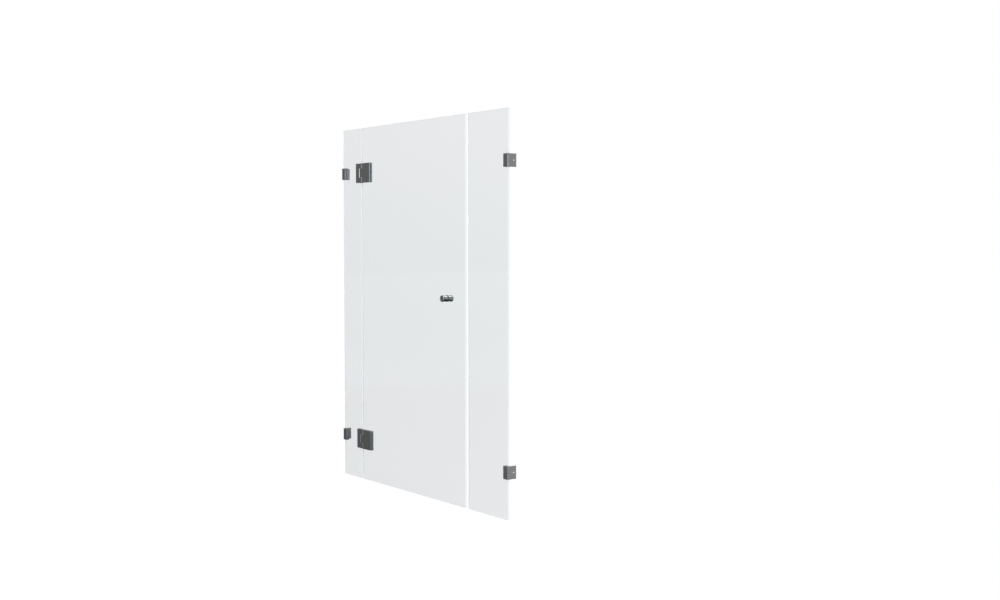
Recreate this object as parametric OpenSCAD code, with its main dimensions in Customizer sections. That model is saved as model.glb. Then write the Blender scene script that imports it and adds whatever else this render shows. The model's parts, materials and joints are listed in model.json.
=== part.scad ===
// Frameless hinged shower door between two fixed inline panes.
// Seen from outside the shower: +X runs along the glass to the right,
// +Y goes into the shower and +Z is up. The origin is at the bottom
// centre of the whole part, level with the bottom edges of the glass.

/* [Glass] */
// Height of the three panes
glass_h = 1900; // [1600:10:2200]
// Thickness of the three panes
glass_t = 8; // [8:1:12]
// Width of the narrow fixed pane that carries the hinges
left_pane_w = 188; // [150:1:400]
// Width of the door pane
door_w = 950; // [600:5:1000]
// Width of the fixed inline pane beyond the door
right_pane_w = 310; // [150:5:700]
// Open gap between the door's free edge and the inline pane
strike_gap = 25; // [4:1:40]
// Distance from the pin axis to the door pane's edge
door_edge_gap = 2.5; // [1:0.5:6]
// Play left when the square edge of the open door passes the fixed pane
joint_clear = 0.5; // [0.5:0.1:3]
// Ground bevel along the long glass edges
arris = 1; // [0.5:0.1:1.5]
// Room between metal and the edges of a glass cut-out
notch_clear = 1; // [1:0.1:2.5]
// Corner radius inside a glass cut-out
notch_r = 3; // [1:0.5:3]

/* [Hardware] */
// Thickness of every metal plate that grips the glass
plate_t = 6; // [5.5:0.5:10]
// Thickness of the clear gaskets between metal and glass
gasket_t = 1.5; // [1:0.1:3]
// Distance that a gasket stays inside the edges of its plate
gasket_inset = 0.8; // [0.4:0.1:2]
// Bevel on the outer edges of the metal
bevel = 1; // [0.5:0.1:1.2]
// Height of the lower clamps above the glass bottom
lower_row_z = 222; // [150:1:400]
// Distance of the upper clamps below the glass top
upper_row_drop = 238; // [150:1:400]
// Seam between two metal pieces of one leaf
seam_gap = 0.3; // [0.2:0.1:0.5]
// Radial play of a fixed round piece in its hole
close_fit = 0.05; // [0.02:0.01:0.1]

/* [Hinges] */
// Height of the lower hinge above the glass bottom
lower_hinge_z = 217; // [150:1:400]
// Distance of the upper hinge below the glass top
upper_hinge_drop = 240; // [150:1:400]
// Height of a hinge
hinge_h = 104; // [95:1:130]
// Reach of the fixed leaf from the pin axis
fixed_leaf_w = 50; // [42:1:80]
// Reach of the door leaf from the pin axis
door_leaf_w = 90; // [82:1:110]
// Height of the door leaf's tongue, which sits in the fork of the fixed leaf
tongue_h = 45.5; // [40:0.5:58]
// Play between a round knuckle and the leaf opposite
knuckle_clear = 0.8; // [0.5:0.1:2]
// Bevel at the bottom of the fixed leaf's fork, in front of the tongue
fork_bevel = 3; // [1.5:0.5:4.5]
// Diameter of the hinge pin
pin_d = 8; // [6:0.5:10]
// Depth of the pin's ends below the ends of the knuckles
pin_recess = 1; // [0.5:0.5:3]
// Radial play of the bushes on the pin
pin_play = 0.05; // [0.02:0.01:0.1]
// Room round the pin between the two bushes, on the radius
pin_relief = 0.5; // [0.3:0.1:1]
// Wall of a bush
bush_wall = 2; // [1.5:0.25:3]
// Length of a bush inside the tongue, without its flange
bush_len = 12; // [8:1:15]
// Diameter of a bush's flange
flange_d = 20; // [17:0.5:22]
// Thickness of a bush's flange
flange_t = 1; // [0.8:0.1:2]
// Running gap between a bush's flange and the fork
thrust_gap = 0.3; // [0.3:0.05:0.5]
// Distance of the fixed leaf's screws from the pin axis
fixed_screw_x = 31; // [27:0.5:34]
// Distance of the door leaf's inner screws from the pin axis
door_screw_near = 38; // [37:0.5:42]
// Distance between the inner and outer screws of the door leaf
door_screw_pitch = 32; // [20:1:34]
// Height of the leaf screws above and below the middle of a hinge
leaf_screw_z = 31; // [22:0.5:36]

/* [Detent] */
// Diameter of the plunger, spring hole and closing screw
detent_d = 7; // [5:0.5:7]
// Length of the plunger
plunger_len = 8; // [6:0.5:10]
// Space for the spring
spring_len = 10; // [8:0.5:12]
// Wire diameter of the spring
spring_wire = 1; // [0.8:0.1:1.2]
// Turns of the spring
spring_turns = 5; // [4:1:6]
// Length of the closing screw
detent_screw_len = 5; // [4:0.5:8]
// Depth of the closing screw below the end of the core
detent_screw_sunk = 1; // [0.5:0.1:2]
// Depth of the flat that the plunger finds on the pin
pin_flat = 0.6; // [0.3:0.1:0.8]
// Height of that flat
pin_flat_h = 12; // [10:1:16]
// Height of the tongue's core inside the glass cut-out
core_h = 16; // [14:1:24]

/* [Wall clamps] */
// Height of a clamp
clamp_h = 62; // [50:1:80]
// Distance from the wall to the glass edge
wall_gap = 5; // [4.5:0.5:12]
// Thickness of the plate on the wall
wall_plate_t = 4; // [3.25:0.25:4.5]
// Overlap of a clamp on the glass
clamp_grip = 28; // [22:1:40]
// Depth of a clamp from its front face to the end of its wall plate
clamp_depth = 52; // [46:1:80]
// Distance of the clamp screw from the glass edge
clamp_screw_x = 12; // [10:0.5:14]
// Diameter of the hole for the wall screw
wall_hole_d = 6; // [4:0.5:7]
// Diameter of the countersink of that hole
wall_sink_d = 11; // [10:0.5:13]

/* [Clamping screws] */
// Diameter of the screws that close the leaves and clamps
screw_d = 6; // [4:0.5:6]
// Diameter of their countersunk heads
screw_head_d = 12; // [9:0.5:13]
// Depth of metal left beyond a blind screw hole
thread_floor = 1.5; // [1:0.25:2.5]
// Play of a screw in a clearance hole, on the radius
screw_play = 0.3; // [0.2:0.05:0.5]
// Room beyond the tip of a screw
tip_room = 0.5; // [0.3:0.1:1]
// Width across the flats of the socket in a head
socket_af = 4; // [2.5:0.5:4]
// Depth of the socket in a head
socket_depth = 2.5; // [1.5:0.25:2.75]
// Wall of the sleeve round a screw in the glass
sleeve_wall = 2; // [1.5:0.25:2.5]
// Play between a sleeve and the glass, on the radius
sleeve_play = 0.3; // [0.2:0.1:0.6]
// Diameter of the headless screws
grub_d = 5; // [4:0.5:5]
// Length of the headless screws
grub_len = 6; // [4:0.5:6]
// Width across the flats of the socket in a headless screw
grub_af = 2.5; // [2:0.5:2.5]

/* [Knobs] */
// Distance of the knobs from the door's free edge
knob_edge = 158; // [60:1:300]
// Height of the knobs above the glass bottom
knob_z = 1011; // [800:1:1200]
// Diameter of a knob's head
knob_head_d = 32.5; // [31:0.5:40]
// Length of a knob's head
knob_head_len = 7; // [4:0.5:9]
// Diameter of a knob's body
knob_body_d = 30; // [20:0.5:30]
// Diameter of a knob's foot
knob_foot_d = 32; // [31.5:0.5:36]
// Thickness of a knob's foot
knob_foot_len = 2.5; // [1.5:0.25:4]
// Length of a knob from its washer to its front face
knob_len = 28; // [22:0.5:40]
// Diameter of the shallow dish in a knob's face
knob_dish_d = 24; // [10:0.5:26]
// Depth of that dish
knob_dish = 0.8; // [0.3:0.1:1.5]
// Bevel on the rims of a knob
knob_bevel = 1.2; // [0.5:0.1:1.4]
// Thickness of the clear washer under a knob
washer_t = 1; // [0.5:0.1:2]
// Diameter of that washer
washer_d = 28; // [20:0.5:29]
// Diameter of the stud that joins the knobs
stud_d = 8; // [6:0.5:8]
// Depth of the stud in a knob
stud_depth = 14; // [12:0.5:17]
// Distance of the headless screw from the knob's washer
knob_grub_a = 9; // [7:0.5:11]

/* [Hidden] */
$fn = 64;
over = 1;
mid_t = glass_t / 2;
stack_in = mid_t + gasket_t;
stack_out = stack_in + plate_t;
fixed_edge_gap = mid_t + joint_clear;
glass_w = left_pane_w + fixed_edge_gap + door_edge_gap + door_w + strike_gap + right_pane_w;
glass_x0 = -glass_w / 2;
pin_x = glass_x0 + left_pane_w + fixed_edge_gap;
door_x0 = pin_x + door_edge_gap;
right_x0 = door_x0 + door_w + strike_gap;
left_x = glass_x0;
right_x = right_x0 + right_pane_w;
upper_row_z = glass_h - upper_row_drop;
upper_hinge_z = glass_h - upper_hinge_drop;
knob_reach = mid_t + washer_t + knob_len;
clamp_tail = clamp_depth - stack_out;
// Middle plane of the glass: it centres the deepest pieces about the origin
glass_y = (max(knob_reach, stack_out) - max(knob_reach, clamp_tail, stack_out)) / 2;
knuckle_r = stack_out;
leaf_start = knuckle_r + knuckle_clear;
fork_z = tongue_h / 2 + flange_t + thrust_gap;
pin_r = pin_d / 2;
bush_r = pin_r + pin_play + bush_wall;
core_start = pin_r + pin_play;
spring_start = core_start + plunger_len;
detent_screw_start = spring_start + spring_len;
core_end = detent_screw_start + detent_screw_len + detent_screw_sunk;
notch_x = leaf_start + notch_clear;
sleeve_ri = screw_d / 2 + screw_play;
sleeve_ro = sleeve_ri + sleeve_wall;
glass_hole_r = sleeve_ro + sleeve_play;
sink_play = 0.1;
thread_end = stack_out - thread_floor;
screw_len = stack_out + thread_end - tip_room;
knob_x = door_x0 + door_w - knob_edge;
grub_seat = 0.1;
// The coil is drawn with this many points round the wire and steps in a turn
wire_sides = 6;
steps_per_turn = 16;
wall_hole_y = (stack_out + clamp_tail) / 2;
fixed_screws = [for (s = [-1, 1]) [-fixed_screw_x, s * leaf_screw_z]];
door_screws = [
    for (x = [door_screw_near, door_screw_near + door_screw_pitch])
    for (s = [-1, 1])
    [x, s * leaf_screw_z]
];
metal = [0.3, 0.3, 0.31];
polished = [0.4, 0.4, 0.41];
steel = [0.62, 0.63, 0.65];
clear = [0.86, 0.9, 0.91, 0.6];
nylon = [0.93, 0.93, 0.9];
glass = [0.84, 0.92, 0.91, 0.35];

// Rectangle with its corners cut at 45 degrees
module bevel_rect(w, h, c) {
    polygon([
        [c, 0], [w - c, 0], [w, c], [w, h - c],
        [w - c, h], [c, h], [0, h - c], [0, c]
    ]);
}

// Outline drawn in X and Z, given thickness from y0 to y1
module along_y(y0, y1) {
    translate([0, y1, 0])
        rotate([90, 0, 0])
            linear_extrude(y1 - y0) children();
}

// Outline drawn in Y and Z, given length from x0 to x1
module along_x(x0, x1) {
    translate([x0, 0, 0])
        rotate([90, 0, 90])
            linear_extrude(x1 - x0) children();
}

// Round bar along Y
module rod_y(r, y0, y1) {
    translate([0, y1, 0])
        rotate([90, 0, 0])
            cylinder(r = r, h = y1 - y0);
}

// Round bar along X
module rod_x(r, x0, x1) {
    translate([x0, 0, 0])
        rotate([0, 90, 0])
            cylinder(r = r, h = x1 - x0);
}

// Box between two corners with every edge bevelled
module bevel_box(lo, hi, c) {
    s = hi - lo;
    translate(lo)
        intersection() {
            linear_extrude(s[2]) bevel_rect(s[0], s[1], c);
            along_y(0, s[1]) bevel_rect(s[0], s[2], c);
            along_x(0, s[0]) bevel_rect(s[1], s[2], c);
        }
}

// Repeats a piece at each [x, z] of a list
module at_points(list) {
    for (p = list)
        translate([p[0], 0, p[1]]) children();
}

// Rounded cut-out outline from x0 to x1, centred in height
module notch_outline(x0, x1, h, r) {
    translate([x0, r - h / 2]) square([x1 - x0, h - 2 * r]);
    translate([x0 + r, -h / 2]) square([x1 - x0 - 2 * r, h]);
    for (x = [x0 + r, x1 - r])
        for (z = [r - h / 2, h / 2 - r])
            translate([x, z]) circle(r);
}

// Pane from x0 with its long edges bevelled, its bottom at z = 0
module bare_pane(x0, w) {
    translate([x0, -mid_t, 0])
        intersection() {
            linear_extrude(glass_h) bevel_rect(w, glass_t, arris);
            along_x(0, w) bevel_rect(glass_t, glass_h, arris);
        }
}

// Holes for the sleeves, drilled through the glass
module glass_holes(list) {
    at_points(list) rod_y(glass_hole_r, -mid_t - over, mid_t + over);
}

// Screw holes of the two clamps on one pane, in from the glass edge at x
module clamp_holes(x) {
    glass_holes([for (z = [lower_row_z, upper_row_z]) [x, z]]);
}

// Shallow cut-out in a pane's edge for the knuckles, towards side s
module knuckle_notch(s) {
    along_y(-mid_t - over, mid_t + over)
        scale([s, 1])
            notch_outline(-notch_r - over, notch_x, hinge_h + 2 * notch_clear, notch_r);
}

// Deeper middle of the door's cut-out, for the tongue's core
module core_notch(y0, y1) {
    along_y(y0, y1)
        notch_outline(0, core_end + notch_clear, core_h + 2 * notch_clear, notch_r);
}

module left_pane() {
    color(glass)
        translate([0, glass_y, 0])
            difference() {
                bare_pane(glass_x0, left_pane_w);
                clamp_holes(glass_x0 + clamp_screw_x);
                for (z = [lower_hinge_z, upper_hinge_z])
                    translate([pin_x, 0, z]) {
                        knuckle_notch(-1);
                        glass_holes(fixed_screws);
                    }
            }
}

module door_pane() {
    color(glass)
        translate([0, glass_y, 0])
            difference() {
                bare_pane(door_x0, door_w);
                for (z = [lower_hinge_z, upper_hinge_z])
                    translate([pin_x, 0, z]) {
                        knuckle_notch(1);
                        core_notch(-mid_t - over, mid_t + over);
                        glass_holes(door_screws);
                    }
                translate([knob_x, 0, knob_z])
                    rod_y(stud_hole_r(), -mid_t - over, mid_t + over);
            }
}

module right_pane() {
    color(glass)
        translate([0, glass_y, 0])
            difference() {
                bare_pane(right_x0, right_pane_w);
                clamp_holes(right_x0 + right_pane_w - clamp_screw_x);
            }
}

// Countersunk socket screw with its head flush at the inner face
module sink_screw() {
    r = screw_d / 2;
    head_r = screw_head_d / 2;
    difference() {
        union() {
            rod_y(r, stack_out - screw_len, stack_out - (head_r - r));
            translate([0, stack_out, 0])
                rotate([90, 0, 0])
                    cylinder(r1 = head_r, r2 = r, h = head_r - r);
        }
        translate([0, stack_out + over, 0])
            rotate([90, 0, 0])
                cylinder(r = socket_af / sqrt(3), h = socket_depth + over, $fn = 6);
    }
}

// Clearance hole with a countersink for that screw
module sink_hole() {
    r = screw_d / 2;
    head_r = screw_head_d / 2 + sink_play;
    rod_y(r + screw_play, stack_in - over, stack_out + over);
    translate([0, stack_out, 0])
        rotate([90, 0, 0])
            cylinder(r1 = head_r, r2 = r + sink_play, h = head_r - r - sink_play);
    rod_y(head_r, stack_out, stack_out + over);
}

// Blind threaded hole in a front plate
module thread_hole() {
    rod_y(screw_d / 2 + close_fit, -thread_end, -stack_in + over);
}

// Plastic sleeve that keeps a screw off the glass
module sleeve() {
    difference() {
        rod_y(sleeve_ro, -stack_in, stack_in);
        rod_y(sleeve_ri, -stack_in - over, stack_in + over);
    }
}

// Front and back gasket of one outline, with holes for the sleeves
module gasket_pair(list) {
    for (s = [-1, 1])
        difference() {
            along_y(min(s * mid_t, s * stack_in), max(s * mid_t, s * stack_in)) children();
            at_points(list) rod_y(glass_hole_r, -stack_out, stack_out);
        }
}

// Headless socket screw along Y, its seat at y0
module grub(y0) {
    difference() {
        rod_y(grub_d / 2, y0, y0 + grub_len);
        translate([0, y0 + grub_len + over, 0])
            rotate([90, 0, 0])
                cylinder(r = grub_af / sqrt(3), h = grub_len / 2 + over, $fn = 6);
    }
}

// Places a clamp at the glass edge x, mirrored where s is -1, at height z
module at_clamp(x, s, z) {
    translate([x, glass_y, z])
        scale([s, 1, 1]) children();
}

// L-shaped body: plate on the wall and jaw behind the glass
module clamp_body(x, s, z) {
    color(metal)
        at_clamp(x, s, z)
            difference() {
                union() {
                    bevel_box(
                        [-wall_gap, -stack_in, -clamp_h / 2],
                        [wall_plate_t - wall_gap, clamp_tail, clamp_h / 2], bevel);
                    bevel_box(
                        [-wall_gap, stack_in, -clamp_h / 2],
                        [clamp_grip, stack_out, clamp_h / 2], bevel);
                }
                translate([clamp_screw_x, 0, 0]) sink_hole();
                translate([0, wall_hole_y, 0]) wall_hole();
            }
}

// Countersunk hole through the wall plate, entered from inside the shower
module wall_hole() {
    r = wall_hole_d / 2;
    sink_r = wall_sink_d / 2;
    face = wall_plate_t - wall_gap;
    rod_x(r, -wall_gap - over, face + over);
    translate([face, 0, 0])
        rotate([0, -90, 0])
            cylinder(r1 = sink_r, r2 = r, h = sink_r - r);
}

module clamp_plate(x, s, z) {
    color(metal)
        at_clamp(x, s, z)
            difference() {
                bevel_box(
                    [-wall_gap, -stack_out, -clamp_h / 2],
                    [clamp_grip, -stack_in, clamp_h / 2], bevel);
                translate([clamp_screw_x, 0, 0]) thread_hole();
            }
}

module clamp_gaskets(x, s, z) {
    color(clear)
        at_clamp(x, s, z)
            gasket_pair([[clamp_screw_x, 0]])
                translate([0, gasket_inset - clamp_h / 2])
                    square([clamp_grip - gasket_inset, clamp_h - 2 * gasket_inset]);
}

module clamp_screws(x, s) {
    color(steel)
        for (z = [lower_row_z, upper_row_z])
            at_clamp(x, s, z) translate([clamp_screw_x, 0, 0]) sink_screw();
}

module clamp_sleeves(x, s) {
    color(nylon)
        for (z = [lower_row_z, upper_row_z])
            at_clamp(x, s, z) translate([clamp_screw_x, 0, 0]) sleeve();
}

// Places a piece of the hinge whose middle is at height z
module at_hinge(z) {
    translate([pin_x, glass_y, z]) children();
}

// Round end of a leaf about the pin, from z0 to z1, with a root to side s
module knuckle(s, z0, z1) {
    h = z1 - z0;
    translate([0, 0, z0]) {
        translate([0, 0, bevel]) cylinder(r = knuckle_r, h = h - 2 * bevel);
        cylinder(r1 = knuckle_r - bevel, r2 = knuckle_r, h = bevel);
        translate([0, 0, h - bevel])
            cylinder(r1 = knuckle_r, r2 = knuckle_r - bevel, h = bevel);
        along_x(min(0, s * leaf_start), max(0, s * leaf_start))
            translate([-knuckle_r, 0]) bevel_rect(2 * knuckle_r, h, bevel);
    }
}

// Fills the bevel of a front plate where the knuckle's root meets it
module root_fill(s, z0, z1) {
    translate([s > 0 ? leaf_start - over : -leaf_start - bevel, -stack_out, z0 + bevel])
        cube([bevel + over, plate_t, z1 - z0 - 2 * bevel]);
}

// What is cut off the fixed leaf's front plate for the bevel of the fork's bottom
module fork_cut() {
    translate([-leaf_start, -stack_out, -fork_z])
        linear_extrude(2 * fork_z)
            polygon([[-fork_bevel - over, -over], [over, fork_bevel + over], [over, -over]]);
}

// Fixed leaf: front plate with a knuckle above and below the tongue
module fixed_leaf(z) {
    half = hinge_h / 2;
    color(metal)
        at_hinge(z)
            difference() {
                union() {
                    bevel_box([-fixed_leaf_w, -stack_out, -half], [-leaf_start, -stack_in, half], bevel);
                    knuckle(-1, fork_z, half);
                    knuckle(-1, -half, -fork_z);
                    root_fill(-1, fork_z, half);
                    root_fill(-1, -half, -fork_z);
                }
                translate([0, 0, -half - over])
                    cylinder(r = pin_r + close_fit, h = hinge_h + 2 * over);
                for (s = [-1, 1])
                    translate([0, 0, s * (fork_z + half) / 2])
                        rod_y(grub_d / 2 + close_fit, 0, stack_out + over);
                fork_cut();
                at_points(fixed_screws) thread_hole();
            }
}

module fixed_cover(z) {
    half = hinge_h / 2;
    color(metal)
        at_hinge(z)
            difference() {
                bevel_box(
                    [-fixed_leaf_w, stack_in, -half],
                    [-leaf_start - seam_gap, stack_out, half], bevel);
                at_points(fixed_screws) sink_hole();
            }
}

module fixed_gaskets(z) {
    color(clear)
        at_hinge(z)
            gasket_pair(fixed_screws)
                translate([gasket_inset - fixed_leaf_w, gasket_inset - hinge_h / 2])
                    square([
                        fixed_leaf_w - gasket_inset - notch_x,
                        hinge_h - 2 * gasket_inset
                    ]);
}

module fixed_leaf_screws(z) {
    color(steel) at_hinge(z) at_points(fixed_screws) sink_screw();
}

module fixed_sleeves(z) {
    color(nylon) at_hinge(z) at_points(fixed_screws) sleeve();
}

// Hinge pin with the flat that the plunger rests on
module hinge_pin(z) {
    end = hinge_h / 2 - pin_recess;
    tip = bevel / 2;
    color(steel)
        at_hinge(z)
            difference() {
                union() {
                    translate([0, 0, tip - end]) cylinder(r = pin_r, h = 2 * (end - tip));
                    translate([0, 0, -end]) cylinder(r1 = pin_r - tip, r2 = pin_r, h = tip);
                    translate([0, 0, end - tip]) cylinder(r1 = pin_r, r2 = pin_r - tip, h = tip);
                }
                translate([pin_r - pin_flat, -pin_r, -pin_flat_h / 2])
                    cube([pin_r, 2 * pin_r, pin_flat_h]);
            }
}

module pin_grub_screws(z) {
    color(steel)
        at_hinge(z)
            for (s = [-1, 1])
                translate([0, 0, s * (fork_z + hinge_h / 2) / 2])
                    grub(pin_r + grub_seat);
}

// Door leaf: front plate with the tongue and the core that holds the detent
module door_leaf(z) {
    half = hinge_h / 2;
    tongue = tongue_h / 2;
    color(metal)
        at_hinge(z)
            difference() {
                union() {
                    bevel_box([leaf_start, -stack_out, -half], [door_leaf_w, -stack_in, half], bevel);
                    knuckle(1, -tongue, tongue);
                    root_fill(1, -tongue, tongue);
                    translate([leaf_start - over, -stack_in - over, -core_h / 2])
                        cube([core_end - leaf_start + over, 2 * stack_in + over, core_h]);
                }
                translate([0, 0, -tongue - over])
                    cylinder(r = pin_r + pin_relief, h = tongue_h + 2 * over);
                for (s = [-1, 1])
                    translate([0, 0, s * (tongue - bush_len / 2 + over / 2)])
                        cylinder(r = bush_r + close_fit, h = bush_len + over, center = true);
                rod_x(detent_d / 2 + close_fit, 0, core_end + over);
                at_points(door_screws) thread_hole();
            }
}

module door_cover(z) {
    half = hinge_h / 2;
    color(metal)
        at_hinge(z)
            difference() {
                bevel_box(
                    [leaf_start + seam_gap, stack_in, -half],
                    [door_leaf_w, stack_out, half], bevel);
                at_points(door_screws) sink_hole();
            }
}

module door_gaskets(z) {
    color(clear)
        at_hinge(z)
            difference() {
                gasket_pair(door_screws)
                    translate([notch_x, gasket_inset - hinge_h / 2])
                        square([
                            door_leaf_w - gasket_inset - notch_x,
                            hinge_h - 2 * gasket_inset
                        ]);
                core_notch(-stack_out, stack_out);
            }
}

module door_leaf_screws(z) {
    color(steel) at_hinge(z) at_points(door_screws) sink_screw();
}

module door_sleeves(z) {
    color(nylon) at_hinge(z) at_points(door_screws) sleeve();
}

// Two flanged bushes, one in each end of the tongue
module bushes(z) {
    color(nylon)
        at_hinge(z)
            for (s = [-1, 1])
                translate([0, 0, s * tongue_h / 2])
                    difference() {
                        union() {
                            translate([0, 0, s * flange_t / 2])
                                cylinder(d = flange_d, h = flange_t, center = true);
                            translate([0, 0, -s * bush_len / 2])
                                cylinder(r = bush_r, h = bush_len, center = true);
                        }
                        cylinder(r = pin_r + pin_play, h = 2 * bush_len + 2 * over, center = true);
                    }
}

// Plunger: its nose keeps just clear of the round of the turning pin
module detent_plunger(z) {
    r = detent_d / 2;
    color(steel)
        at_hinge(z) {
            rod_x(r, core_start + bevel, spring_start);
            translate([core_start, 0, 0])
                rotate([0, 90, 0])
                    cylinder(r1 = r - bevel, r2 = r, h = bevel);
        }
}

// One ring of points round the wire, turned by a about the coil's X axis
function coil_ring(a, r, wire_r, x) = [
    for (k = [0:wire_sides - 1])
    let (u = 360 / wire_sides * k)
    [x + wire_r * sin(u), (r + wire_r * cos(u)) * cos(a), (r + wire_r * cos(u)) * sin(a)]
];

module detent_spring(z) {
    n = wire_sides;
    steps = spring_turns * steps_per_turn;
    wire_r = spring_wire / 2;
    coil_r = detent_d / 2 - wire_r - screw_play;
    x0 = spring_start + wire_r;
    pitch = (spring_len - spring_wire) / steps;
    turn = 360 / steps_per_turn;
    points = [for (i = [0:steps]) each coil_ring(i * turn, coil_r, wire_r, x0 + i * pitch)];
    side = [
        for (i = [0:steps - 1])
        for (k = [0:n - 1])
        let (a = n * i + k, b = n * i + (k + 1) % n)
        each [[a, b, b + n], [a, b + n, a + n]]
    ];
    last = n * steps;
    start = [for (k = [1:n - 2]) [0, k + 1, k]];
    end = [for (k = [1:n - 2]) [last, last + k, last + k + 1]];
    color(steel) at_hinge(z) polyhedron(points, concat(side, start, end));
}

// Closing screw behind the spring
module detent_screw(z) {
    color(steel)
        at_hinge(z)
            difference() {
                rod_x(detent_d / 2, detent_screw_start, detent_screw_start + detent_screw_len);
                translate([detent_screw_start + detent_screw_len / 2, 0, 0])
                    rotate([0, 90, 0])
                        cylinder(r = socket_af / sqrt(3), h = detent_screw_len, $fn = 6);
            }
}

function stud_hole_r() = stud_d / 2 + screw_play + sleeve_wall + sleeve_play;

module at_knob() {
    translate([knob_x, glass_y, knob_z]) children();
}

// Turned knob standing out along -Y from its washer
module knob_turning() {
    foot = knob_foot_d / 2;
    body = knob_body_d / 2;
    head = knob_head_d / 2;
    dish = knob_dish_d / 2;
    c = knob_bevel;
    neck = knob_len - knob_head_len;
    translate([0, -mid_t - washer_t, 0])
        rotate([90, 0, 0])
            rotate_extrude()
                polygon([
                    [0, 0], [foot, 0], [foot, knob_foot_len - c / 2],
                    [foot - c / 2, knob_foot_len], [body, knob_foot_len],
                    [body, neck - c], [head - c, neck], [head, neck + c],
                    [head, knob_len - c], [head - c, knob_len], [dish, knob_len],
                    [dish - knob_dish, knob_len - knob_dish], [0, knob_len - knob_dish]
                ]);
}

// Blind hole in a knob for the stud
module stud_hole() {
    reach = mid_t + washer_t + stud_depth;
    rod_y(stud_d / 2 + close_fit, -reach - tip_room, -mid_t);
}

module outer_knob() {
    color(polished)
        at_knob()
            difference() {
                knob_turning();
                stud_hole();
            }
}

module inner_knob() {
    color(polished)
        at_knob()
            scale([1, -1, 1])
                difference() {
                    knob_turning();
                    stud_hole();
                    translate([0, -mid_t - washer_t - knob_grub_a, -knob_body_d])
                        cylinder(d = grub_d + 2 * close_fit, h = knob_body_d);
                }
}

module knob_stud() {
    reach = mid_t + washer_t + stud_depth;
    color(steel) at_knob() rod_y(stud_d / 2, -reach, reach);
}

module knob_sleeve() {
    color(nylon)
        at_knob()
            difference() {
                rod_y(stud_d / 2 + screw_play + sleeve_wall, -mid_t, mid_t);
                rod_y(stud_d / 2 + screw_play, -mid_t - over, mid_t + over);
            }
}

// One clear washer against each side of the glass
module knob_washers() {
    color(clear)
        at_knob()
            for (s = [-1, 1])
                scale([1, s, 1])
                    difference() {
                        rod_y(washer_d / 2, mid_t, mid_t + washer_t);
                        rod_y(stud_d / 2 + screw_play, mid_t - over, mid_t + washer_t + over);
                    }
}

// Headless screw that locks the inner knob on the stud, from below
module knob_grub_screw() {
    color(steel)
        at_knob()
            translate([0, mid_t + washer_t + knob_grub_a, 0])
                rotate([-90, 0, 0])
                    grub(stud_d / 2 + grub_seat);
}

left_pane();
door_pane();
right_pane();
clamp_body(left_x, 1, upper_row_z);  // left_upper_clamp_body
clamp_plate(left_x, 1, upper_row_z);  // left_upper_clamp_plate
clamp_gaskets(left_x, 1, upper_row_z);  // left_upper_clamp_gaskets
clamp_body(left_x, 1, lower_row_z);  // left_lower_clamp_body
clamp_plate(left_x, 1, lower_row_z);  // left_lower_clamp_plate
clamp_gaskets(left_x, 1, lower_row_z);  // left_lower_clamp_gaskets
clamp_body(right_x, -1, upper_row_z);  // right_upper_clamp_body
clamp_plate(right_x, -1, upper_row_z);  // right_upper_clamp_plate
clamp_gaskets(right_x, -1, upper_row_z);  // right_upper_clamp_gaskets
clamp_body(right_x, -1, lower_row_z);  // right_lower_clamp_body
clamp_plate(right_x, -1, lower_row_z);  // right_lower_clamp_plate
clamp_gaskets(right_x, -1, lower_row_z);  // right_lower_clamp_gaskets
clamp_screws(left_x, 1);  // left_clamp_screws
clamp_sleeves(left_x, 1);  // left_clamp_sleeves
clamp_screws(right_x, -1);  // right_clamp_screws
clamp_sleeves(right_x, -1);  // right_clamp_sleeves
fixed_leaf(upper_hinge_z);  // upper_fixed_leaf
fixed_cover(upper_hinge_z);  // upper_fixed_cover
fixed_gaskets(upper_hinge_z);  // upper_fixed_gaskets
fixed_leaf_screws(upper_hinge_z);  // upper_fixed_screws
fixed_sleeves(upper_hinge_z);  // upper_fixed_sleeves
hinge_pin(upper_hinge_z);  // upper_hinge_pin
pin_grub_screws(upper_hinge_z);  // upper_pin_grub_screws
door_leaf(upper_hinge_z);  // upper_door_leaf
door_cover(upper_hinge_z);  // upper_door_cover
door_gaskets(upper_hinge_z);  // upper_door_gaskets
door_leaf_screws(upper_hinge_z);  // upper_door_screws
door_sleeves(upper_hinge_z);  // upper_door_sleeves
bushes(upper_hinge_z);  // upper_bushes
detent_plunger(upper_hinge_z);  // upper_detent_plunger
detent_spring(upper_hinge_z);  // upper_detent_spring
detent_screw(upper_hinge_z);  // upper_detent_screw
fixed_leaf(lower_hinge_z);  // lower_fixed_leaf
fixed_cover(lower_hinge_z);  // lower_fixed_cover
fixed_gaskets(lower_hinge_z);  // lower_fixed_gaskets
fixed_leaf_screws(lower_hinge_z);  // lower_fixed_screws
fixed_sleeves(lower_hinge_z);  // lower_fixed_sleeves
hinge_pin(lower_hinge_z);  // lower_hinge_pin
pin_grub_screws(lower_hinge_z);  // lower_pin_grub_screws
door_leaf(lower_hinge_z);  // lower_door_leaf
door_cover(lower_hinge_z);  // lower_door_cover
door_gaskets(lower_hinge_z);  // lower_door_gaskets
door_leaf_screws(lower_hinge_z);  // lower_door_screws
door_sleeves(lower_hinge_z);  // lower_door_sleeves
bushes(lower_hinge_z);  // lower_bushes
detent_plunger(lower_hinge_z);  // lower_detent_plunger
detent_spring(lower_hinge_z);  // lower_detent_spring
detent_screw(lower_hinge_z);  // lower_detent_screw
outer_knob();
inner_knob();
knob_stud();
knob_sleeve();
knob_washers();
knob_grub_screw();
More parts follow.
